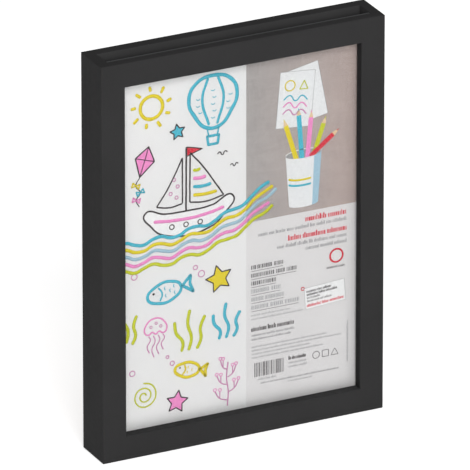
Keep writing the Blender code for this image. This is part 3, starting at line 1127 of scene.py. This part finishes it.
def makeSheet():
    low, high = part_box("insert_sheet")
    grid = (sheet["columns"], sheet["rows"])
    mesh = sheetPlate(low.x, high.x, low.z, high.z, 0.0, high.y - low.y, *grid)
    shaded(mesh, sheet["sharpAngle"])
    addPiece("insert_sheet_paper", mesh, [paper], "printed_paper", "sheet", "insert_sheet")
    print("sheet made")


# The print. Every place on it is in millimetres: X from the middle of the sheet, Z from the floor.
inkColors = {
    "yellow": (208, 189, 16),
    "turquoise": (62, 167, 187),
    "pink": (220, 131, 185),
    "lime": (182, 188, 24),
    "mauve": (192, 128, 168),
    "dark": (52, 44, 46),
    "red": (198, 30, 52),
    "paleBlue": (150, 180, 196),
    "grey": (96, 93, 94),
    "softGrey": (140, 140, 142),
    "faintGrey": (158, 158, 160),
    "white": (220, 220, 220),
    "dullWhite": (211, 212, 213),
    "wood": (210, 184, 146),
}
printing = {
    "thickness": 0.018 * mm,
    "layer": 0.024 * mm,
    "lift": 0.002 * mm,
    "strip": 8.0 * mm,
    "panelLeft": 7.2 * mm,
    "panelSplit": 172.7 * mm,
    "panelRim": 0.02 * mm,
    "panelGrid": 14,
}
hands = {
    "drawing": {"Spacing": 0.35 * mm, "Wander": 0.25 * mm, "Swell": 0.4},
    "label": {"Spacing": 0.5 * mm, "Wander": 0.0, "Swell": 0.0},
    "picture": {"Spacing": 0.5 * mm, "Wander": 0.0, "Swell": 0.0},
}
strokes = {}
areas = {}


def moved(points, dx=0.0, dz=0.0, turn=0.0, size=1.0):
    cos, sin = math.cos(math.radians(turn)), math.sin(math.radians(turn))
    return [
        (dx + size * (x * cos - z * sin), dz + size * (x * sin + z * cos)) for x, z in points
    ]


def polar(radius, angle):
    return radius * math.cos(angle), radius * math.sin(angle)


def ring(cx, cz, radius, steps=10, tall=1.0):
    return arc(cx, cz, radius, 0, 360, steps, tall)[:-1]


# Notes lines and areas down by group, ink and layer. The spot is their place, turn and size.
class Pen:
    def __init__(self, group, *spot):
        self.group, self.spot = group, spot

    def note(self, book, ink, layer, points, *how):
        book.setdefault((self.group, ink, layer), []).append((moved(points, *self.spot), *how))

    def line(self, ink, points, width, layer=5, closed=False, smooth=True):
        self.note(strokes, ink, layer, points, width, closed, smooth)

    def loop(self, ink, points, width, layer=5):
        self.line(ink, points, width, layer, True)

    def shape(self, ink, points, width, layer=5):
        self.line(ink, points, width, layer, True, False)

    def area(self, ink, points, layer=3, smooth=False):
        self.note(areas, ink, layer, points, 1.0, True, smooth)


def drawSun(pen, radius):
    pen.loop("yellow", ring(0, 0, radius), 2.9)
    rays = 9
    for ray in range(rays):
        angle = math.radians(360 * ray / rays + 12)
        tip = polar(radius + 8.2 + 1.2 * (ray % 2), angle + 0.06)
        pen.line("yellow", [polar(radius + 3.6, angle), tip], 2.6)


def drawBalloon(pen):
    half = [(0, 26), (15, 21), (20.5, 8), (15, -6), (6, -16)]
    pen.loop("turquoise", half + [(-x, z) for x, z in reversed(half[1:])], 3.0)
    for side in (-1, 1):
        pen.line("turquoise", [(side * 4.2, 24.5), (side * 9, 8), (side * 3.5, -14.5)], 2.2)
        pen.line("turquoise", [(side * 5, -17), (side * 3.6, -23)], 1.3)
    for row in range(5):
        for place in (-1, 0, 1):
            x, z = place * (14.6 - row * 0.9) + 1.2 * (row % 2), 15 - row * 5.6
            if place == 0 or row not in (0, 4):
                pen.line("turquoise", arc(x, z, 1.7, 200, 340, 4), 0.7)
    pen.shape("turquoise", [(-5, -23.5), (5, -23.5), (4, -30.5), (-4, -30.5)], 2.2)


def drawKite(x, z):
    pen, leaning = Pen("drawing", x, z), Pen("drawing", x, z, -18)
    outline = [(0, 12), (8.5, 1), (0, -13), (-8.5, 1)]
    leaning.area("pink", outline, 4)
    leaning.shape("dark", outline, 1.05, 6)
    for cross in ([(0, 12), (0, -13)], [(-8.5, 1), (8.5, 1)]):
        leaning.line("dark", cross, 0.75, 6, smooth=False)
    tail = [(-4, -12.6), (-7.4, -19), (-3.6, -25), (-7, -31), (-4.4, -37)]
    pen.line("dark", tail, 0.8)
    bow = [(-3.1, 1.9), (3.1, -1.9), (3.1, 1.9), (-3.1, -1.9)]
    for ink, (dx, dz), turn in zip(("yellow", "turquoise", "pink"), tail[1:4], (-20, 20, -15)):
        Pen("drawing", x + dx, z + dz, turn).shape(ink, bow, 1.2, 7)


def drawBoat(pen):
    hull = [(-37, 9), (-20, 6.2), (0, 5.4), (20, 6.4), (38, 11)]
    hull += [(30, -3), (20, -11), (-21, -11), (-31, -3)]
    pen.area("white", hull, 3, True)
    pen.loop("dark", hull, 1.4)
    pen.line("pink", [(-29.5, 1.4), (-12, -0.6), (12, -0.4), (30.5, 3)], 2.7, 4)
    for x in (-14, -2, 10):
        pen.loop("dark", ring(x, -5.6, 1.9, 6), 0.9, 6)
    pen.line("dark", [(-2, 5.4), (-1.6, 58)], 1.5)
    for side in (
        [(1.2, 12), (1.6, 53)], [(1.6, 53), (13, 39), (23, 24), (30, 13)],
        [(30, 13), (15, 10.4), (1.2, 12)], [(-5, 50), (-12, 36), (-19, 24), (-27, 13)],
        [(-27, 13), (-16, 10.8), (-5, 12)], [(-5, 12), (-5, 50)],
    ):
        pen.line("dark", side, 1.25, 6)
    for ink, z, right in (
        ("yellow", 17.5, 24.4), ("turquoise", 24.5, 19.6), ("pink", 31.5, 15.2), ("lime", 38.5, 10.4),
    ):
        pen.line(ink, [(4, z), (right * 0.6, z - 1), (right, z - 0.2)], 2.8, 4)
    for x, z in ((-10, 18), (-15, 22), (-9, 27), (-12, 33)):
        pen.loop("mauve", ring(x, z, 1.3, 6), 0.8, 6)
    flag = [(-1.2, 58), (12, 54.5), (-1.4, 50.5)]
    pen.area("red", flag, 4)
    pen.shape("dark", flag, 0.9, 6)


# Long waves that run in from under the frame and swell to the right, over the printed panel.
def drawWaves(pen):
    start, full, count = -103, 33, 17
    for row, ink in enumerate(("turquoise", "yellow", "paleBlue", "pink", "lime")):
        points = []
        end = 27 + 3 * (row % 3)
        for step in range(count + 1):
            x = start + (end - start) * step / count
            share = (x - start) / (full - start)
            ripple = 2.3 * math.sin(share * 30 + row * 0.3) * (1 - 0.35 * share)
            points.append((x, 173 - 5.4 * row + 36 * share ** 3.2 + ripple))
        pen.line(ink, points, 2.8, 8)


def drawBird(pen):
    pen.line("dark", [(-4.4, 1.4), (-2.4, 2.9), (0, 0.3), (2.2, 3.0), (4.4, 1.8)], 0.95)


def drawFish(pen, ink, scales):
    pen.loop(ink, [(-15, 0), (-6, 7.5), (6, 8), (14, 1), (6, -7), (-6, -7.2)], 2.5)
    pen.shape(ink, [(15, 1), (23, 7.5), (21.5, 0.5), (23.5, -6.5)], 2.5)
    pen.line(ink, [(-5, 6), (-2.4, 0), (-5, -5.6)], 1.4)
    for x, z in scales:
        pen.line(ink, arc(x, z, 1.5, 110, 250, 4), 0.75)
    pen.area("dark", ring(-9.5, 2, 1.1, 8), 6)


def drawStar(pen, radius, ink):
    points = []
    for step in range(10):
        points.append(polar(radius * (0.5 if step % 2 else 1), math.radians(90 + 36 * step)))
    pen.area(ink, points, 4)
    pen.shape("dark", points, 1.0, 6)


def drawWeed(pen, ink, tall, lean, width=2.7):
    bends = [(2.2 + lean * 0.2, tall * 0.3), (-1.2 + lean * 0.6, tall * 0.64)]
    pen.line(ink, [(0, 0), *bends, (lean, tall)], width)


def drawJelly(pen):
    dome = [(-9, 0), (-8, 7), (0, 11.5), (8, 7), (9, 0)]
    dome += [(6, -1.6), (3, 0.2), (0, -1.6), (-3, 0.2), (-6, -1.6)]
    pen.loop("pink", dome, 1.3)
    for x, tall in ((-6, 15), (-2, 19), (2, 17), (6, 14)):
        strand = [(x, -2.6), (x + 1.5, -tall * 0.4), (x - 1.3, -tall * 0.75), (x + 0.6, -tall - 2)]
        pen.line("mauve", strand, 0.95)
    for x, z in ((-4, 4.6), (0.4, 7.2), (4.4, 4.2)):
        pen.loop("mauve", ring(x, z, 1.0, 6), 0.7)


def drawCoral(pen):
    pen.line("mauve", [(0, 0), (0.8, 12), (-0.6, 24), (0.6, 37)], 1.1)
    for level, reach in enumerate((-10.5, 9.5, -9, 7.5, -6)):
        z, fork = 5 + 6.4 * level, reach * 0.62
        pen.line("mauve", [(0.2, z), (fork, z + 2.6), (reach, z + 9)], 1.0)
        pen.line("mauve", [(fork, z + 2.6), (reach * 0.6, z + 8.4)], 0.9)
        for x, rise in ((reach, 10.2), (reach * 0.6, 9.6)):
            pen.loop("pink", ring(x, z + rise, 1.2, 6), 0.7)


def drawShell(pen, ink, radius, width):
    points, steps, turns = [], 26, 2.35
    for step in range(steps):
        share = step / steps
        points.append(polar(radius * (0.12 + 0.88 * share), share * 2 * math.pi * turns))
    pen.line(ink, points, width)


def drawDrawing():
    def at(*spot):
        return Pen("drawing", *spot)

    drawSun(at(-73, 283), 9.4)
    drawStar(at(-51, 259, 8), 6.6, "turquoise")
    drawBalloon(at(-21, 274))
    drawKite(-79, 240)
    drawBoat(at(-42, 187))
    drawBird(at(-13, 233))
    drawBird(at(-3, 222, 0, 0.8))
    drawWaves(at())
    scales = ((1.5, 3.6), (1.5, -2.6), (5.6, 0.6), (9.2, 3.4), (9.2, -2.2))
    drawFish(at(-62, 128, 8), "turquoise", scales)
    drawStar(at(-16, 131, 12), 11.5, "yellow")
    drawWeed(at(-95, 92), "lime", 34, -4, 2.9)
    drawWeed(at(-90, 90), "lime", 24, 4)
    drawJelly(at(-70, 97))
    for ink, foot, x, *shapes in (
        ("lime", 76, -42, (-6, 26, -6), (0, 34, 1), (7, 27, 7)),
        ("turquoise", 80, -10, (-6, 22, -5), (0, 30, 0), (6, 21, 6)),
    ):
        for aside, tall, lean in shapes:
            drawWeed(at(x + aside, foot), ink, tall, lean)
    drawShell(at(-80, 45), "lime", 11.5, 1.2)
    drawStar(at(-52, 35, -10), 9.5, "pink")
    drawFish(at(-43, 60, -12, 0.72), "yellow", ((1.5, 3.2), (1.5, -2.4), (6.5, 0.6)))
    drawCoral(at(-9, 23))
    for x, z, radius in (
        (-88, 146, 2.4), (-36, 144, 1.7), (-31, 138, 2.6), (-90, 66, 2.2), (-56, 68, 1.8), (-60, 74, 1.2),
    ):
        at(x, z).loop("mauve", ring(0, 0, radius, 7), 0.85)


# The label. In place of the small print it has rows of plain blocks: start, foot, length and
# height of each row. The ruled rows have capitals alone, all of one height.
blockRows = {
    "red": ((57.7, 164.6, 34.8, 3.2), (43.0, 151.2, 50.0, 3.2)),
    "softGrey": (
        (17.6, 159.4, 75.2, 2.2), (33.6, 146.0, 59.2, 2.2), (58.0, 140.8, 35.0, 2.2),
        (11.9, 76.8, 36.3, 1.4), (11.9, 73.4, 33.4, 1.4), (19.6, 35.8, 67.1, 1.2),
    ),
    "grey": ((76.0, 121.2, 15.4, 1.7),),
    "faintGrey": (
        (11.5, 93.8, 33.0, 1.2), (11.5, 90.6, 44.3, 1.2), (11.9, 67.2, 64.1, 1.2),
        (11.9, 64.2, 76.6, 1.2), (11.9, 61.2, 49.9, 1.2), (11.9, 58.2, 61.2, 1.2),
        (17.2, 39.2, 15.3, 1.4), (43.6, 48.0, 15.3, 1.3), (43.6, 44.9, 15.4, 1.3),
        (43.1, 33.0, 20.6, 1.1),
    ),
    "dark": ((11.5, 81.0, 36.4, 2.8), (43.4, 51.4, 15.0, 2.2)),
}
ruledRows = {
    "grey": ((11.4, 133.0, 27.3), (11.4, 126.2, 38.7), (11.4, 119.6, 21.1)),
    "faintGrey": ((11.4, 113.0, 25.0), (11.5, 106.2, 27.8), (11.5, 99.4, 41.0)),
}
cardRows = (
    ("dark", 1.8, 13.8, 21, 1.6), ("dark", 1.8, 11.1, 26, 1.6), ("grey", 1.8, 8.5, 11, 1.4),
    ("grey", 1.8, 5.8, 21, 1.4), ("red", 1.4, 1.8, 31.4, 1.8),
)
label = {
    "capital": 3.3,
    "rule": 0.4,
    "ruleDrop": 1.6,
    "card": (58.0, 90.6, 3.8),
    "stripes": (14.2, 42.4, 39.2, 54.2),
    "stripeSeed": 9,
    "stripeWidths": (0.3, 0.3, 0.55, 0.8),
    "stripeGaps": (0.35, 0.5, 0.7),
    "word": (4, 14),                 # blocks
    "wide": (0.16, 0.4),             # this and the next three are shares of a row's height
    "gap": (0.14, 0.26),
    "space": 0.45,
    "tall": (1.0, 1.0, 1.0, 1.0, 1.42),
    "bold": 1.35,
}


def drawBlocks(ink, x, z, length, height, turn=0.0, level=False):
    chance = random.Random(int(z * 10 + x))
    bold = label["bold"] if ink in ("red", "dark") else 1
    blocks, along = [], 0.0
    while along < length:
        for block in range(chance.randint(*label["word"])):
            wide = height * chance.uniform(*label["wide"]) * bold
            tall = height * (1.0 if level else chance.choice(label["tall"]))
            blocks.append((along, along + wide, tall))
            along += wide + height * chance.uniform(*label["gap"])
        along += height * label["space"]
    fit = length / blocks[-1][1]
    pen = Pen("label", x, z, turn)
    for start, end, tall in blocks:
        pen.area(ink, oblong(start * fit, 0, end * fit, tall), 4)


def drawStripes(left, low, right, high):
    chance = random.Random(label["stripeSeed"])
    while left < right:
        width = chance.choice(label["stripeWidths"])
        Pen("label").area("grey", oblong(left, low, left + width, high), 4)
        left += width + chance.choice(label["stripeGaps"])


def drawCard(x, z, tilt):
    pen, card = Pen("label", x, z, tilt), oblong(0, 0, 34.5, 18)
    pen.area("white", card, 3)
    pen.shape("softGrey", card, 0.25)
    for ink, start, foot, length, height in cardRows:
        drawBlocks(ink, *moved([(start, foot)], x, z, tilt)[0], length, height, tilt)


def drawLabel():
    pen = Pen("label")
    for ink, rows in blockRows.items():
        for row in rows:
            drawBlocks(ink, *row)
    for ink, rows in ruledRows.items():
        for x, z, length in rows:
            drawBlocks(ink, x, z, length, label["capital"], level=True)
            foot = z - label["ruleDrop"]
            pen.line("grey", [(x, foot), (x + length, foot)], label["rule"], 4, smooth=False)
    pen.loop("red", ring(84.4, 131.2, 5.4, 10), 1.5)
    drawCard(*label["card"])
    pen.loop("red", ring(55.6, 108.6, 1.3, 8), 0.7, 4)
    drawStripes(*label["stripes"])
    pen.loop("grey", ring(67.2, 51, 2.9, 8), 0.5, 4)
    pen.shape("grey", moved(oblong(-2.7, -2.7, 2.7, 2.7), 75.2, 51), 0.5, 4)
    pen.shape("grey", moved([(-3.1, -2.6), (3.1, -2.6), (0, 2.9)], 83.2, 51), 0.5, 4)
    drawBlocks("faintGrey", 94.8, 40.4, 34.4, 1.2, 90)


# The picture on the upper panel: a pot of coloured pencils before two loose sheets. Its places
# are in millimetres from the foot of the pot.
picture = {
    "foot": (56.0, 180.0),
    "size": 1.15,
    "potTop": 36.0,
    "topHalf": 13.3,
    "footHalf": 10.8,
    "squash": 0.24,
    "backLeaf": (1.4, 79, 11),
    "frontLeaf": (-6.0, 76, -5),
}
pencil = {"half": 1.7, "point": 5.4, "lead": 0.34}
pencils = (
    ("yellow", (-5.2, 32), (-13.2, 58), 6), ("turquoise", (-1.2, 32), (-3.6, 64), 5),
    ("pink", (2.8, 32), (5.4, 61), 6), ("lime", (6.8, 32), (14.8, 55), 5),
    ("red", (4.8, 33), (22.0, 46), 6),
)


def drawPencil(pen, ink, foot, head, layer):
    start, end = Vector(foot), Vector(head)
    along = (end - start).normalized()
    side = Vector((-along.y, along.x)) * pencil["half"]
    tip = end + along * pencil["point"]
    lead = tip + (end - tip) * pencil["lead"]
    rim = side * pencil["lead"]
    pen.area(ink, [start - side, end - side, end + side, start + side], layer)
    pen.area("wood", [end - side, tip, end + side], layer)
    pen.area(ink, [lead - rim, tip, lead + rim], layer + 1)


def drawPot(pen):
    top, squash = picture["potTop"], picture["squash"]
    topHalf, footHalf = picture["topHalf"], picture["footHalf"]

    def side(start, steps):
        upper = arc(0, top, topHalf, start, 360, steps, squash)
        return upper + arc(0, 0, footHalf, 360, start, steps, squash)

    pen.area("softGrey", ring(0, top, topHalf, 24, squash), 4)
    pen.area("dullWhite", side(180, 14), 8)
    pen.area("paleBlue", side(306, 6), 9)
    pen.line("white", arc(0, top, topHalf, 0, 180, 14, squash), 0.7)
    for ink, rise in (("turquoise", 16), ("yellow", 20)):
        pen.line(ink, arc(0, rise, 11.4, 192, 300, 8, squash), 1.7, 9)


def drawPicture():
    pen = Pen("picture", *picture["foot"], 0.0, picture["size"])
    front = picture["frontLeaf"]
    for place, layer in ((picture["backLeaf"], 1), (front, 3)):
        leaf = moved(oblong(-13, -20, 13, 20), *place)
        pen.area("dullWhite", leaf, layer)
        pen.shape("softGrey", leaf, 0.3, layer + 1)
    pen.loop("yellow", moved(ring(-5, 10, 3.6, 8), *front), 1.0)
    pen.shape("lime", moved([(2.4, 7), (8.4, 7), (5.4, 13)], *front), 0.9)
    wave = [(-9, 0), (-4.5, 3), (0, -1), (4.5, 2.4), (9, -1)]
    for ink, drop in (("turquoise", 0), ("pink", 5), ("mauve", 10)):
        pen.line(ink, moved(moved(wave, 0, -drop), *front), 1.1)
    for row in pencils:
        drawPencil(pen, *row)
    drawPot(pen)


# Cuts a flat print into strips where it is wide, so that it can follow the bow of the sheet.
def cutStrips(work):
    places = [vertex.co.x for vertex in work.verts]
    strip = printing["strip"]
    for step in range(math.ceil(min(places) / strip), math.floor(max(places) / strip) + 1):
        cut = {"plane_co": (step * strip, 0, 0), "plane_no": (1, 0, 0)}
        bmesh.ops.bisect_plane(work, geom=work.verts[:] + work.edges[:] + work.faces[:], **cut)


# Stands a flat print up on the sheet's face.
def ontoSheet(mesh, layer):
    lift = printing["lift"] + layer * printing["layer"]
    for vertex in mesh.vertices:
        x, z, height = vertex.co
        vertex.co = (x, sheetFront(x) - lift - height, z)
    return mesh


def makePanels():
    low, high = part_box("insert_sheet")
    split, rim, grid = printing["panelSplit"], printing["panelRim"], printing["panelGrid"]
    thick = printing["thickness"]
    for word, bottom, top, ink in (
        ("upper", split, high.z - rim, warmPanel), ("lower", low.z + rim, split, palePanel),
    ):
        edges = (printing["panelLeft"], high.x - rim, bottom, top)
        mesh = sheetPlate(*edges, thick + printing["lift"], thick, grid, grid)
        addPiece("print_panel_" + word, mesh, [ink], "printed_paper", "sheet")


def makePrint():
    drawDrawing()
    drawLabel()
    drawPicture()
    makePanels()
    meshes = {}
    thickness = {"Thickness": printing["thickness"]}
    for (group, ink, layer), rows in strokes.items():
        values = {**hands[group], **thickness, "Seed": float(layer)}
        mesh = grow(strokeTree, curveObject(rows, mm), inks[ink], values)
        meshes.setdefault((group, ink), []).append(ontoSheet(mesh, layer))
    # areas of the label never overlap, so each ink of it is filled in one go
    for (group, ink, layer), rows in areas.items():
        for together in [rows] if group == "label" else [[row] for row in rows]:
            mesh = grow(areaTree, curveObject(together, mm), inks[ink], thickness)
            mesh = ontoSheet(changed(mesh, cutStrips), layer)
            meshes.setdefault((group, ink), []).append(mesh)
    for (group, ink), parts in meshes.items():
        mesh = joined(group, parts)
        addPiece("print_" + group + "_" + ink, mesh, [inks[ink]], "printed_paper", "sheet")
    print("print made:", len(meshes), "inks")


makeCamera()
makeStudio()
lacquer = makeFinish("blackLacquer")
# painted shade on the side of the lips that looks at the window
paintedShadeLipLacquer = makeFinish("shadedLipLacquer")
# painted light and shade inside the slot: a paler lacquer that darkens deeper down
slotTop = cadBounds[1].z
slotPaintedShadeHeights = (slotTop - rails["slotPaintedShadeDepth"], slotTop - 2 * rails["edgeRadius"])
paintedLightSlotLacquer = makeFinish("thinInnerLacquer", (*slotPaintedShadeHeights, rails["slotPaintedShadeShare"]))
acrylic = makeAcrylic()
sawnAcrylic = makeFinish("sawnAcrylicEdge")
greyBoard = makeFinish("greyBoard")
paper = makeFinish("whitePaper")
hardboard = makeFinish("brownHardboard")
zinc = makeFinish("zincSteel")
darkSteel = makeFinish("darkSteel")
warmPanel = makeWarmPanel()
palePanel = makeInk("palePanelInk", panelLook["pale"], panelLook["paleStreaks"])
inks = {name: makeInk("ink" + name.capitalize(), color) for name, color in inkColors.items()}
mouldingTree = buildMouldingTree()
hardwareTree = buildHardwareTree()
strokeTree = buildStrokeTree()
areaTree = buildAreaTree()
print("camera, light and materials ready")

makeRails(makePockets())
makeFasteners()
makeWindow()
makePanel()
makeRivets()
makeTabs()
makeHangers()
makeSheet()
makePrint()
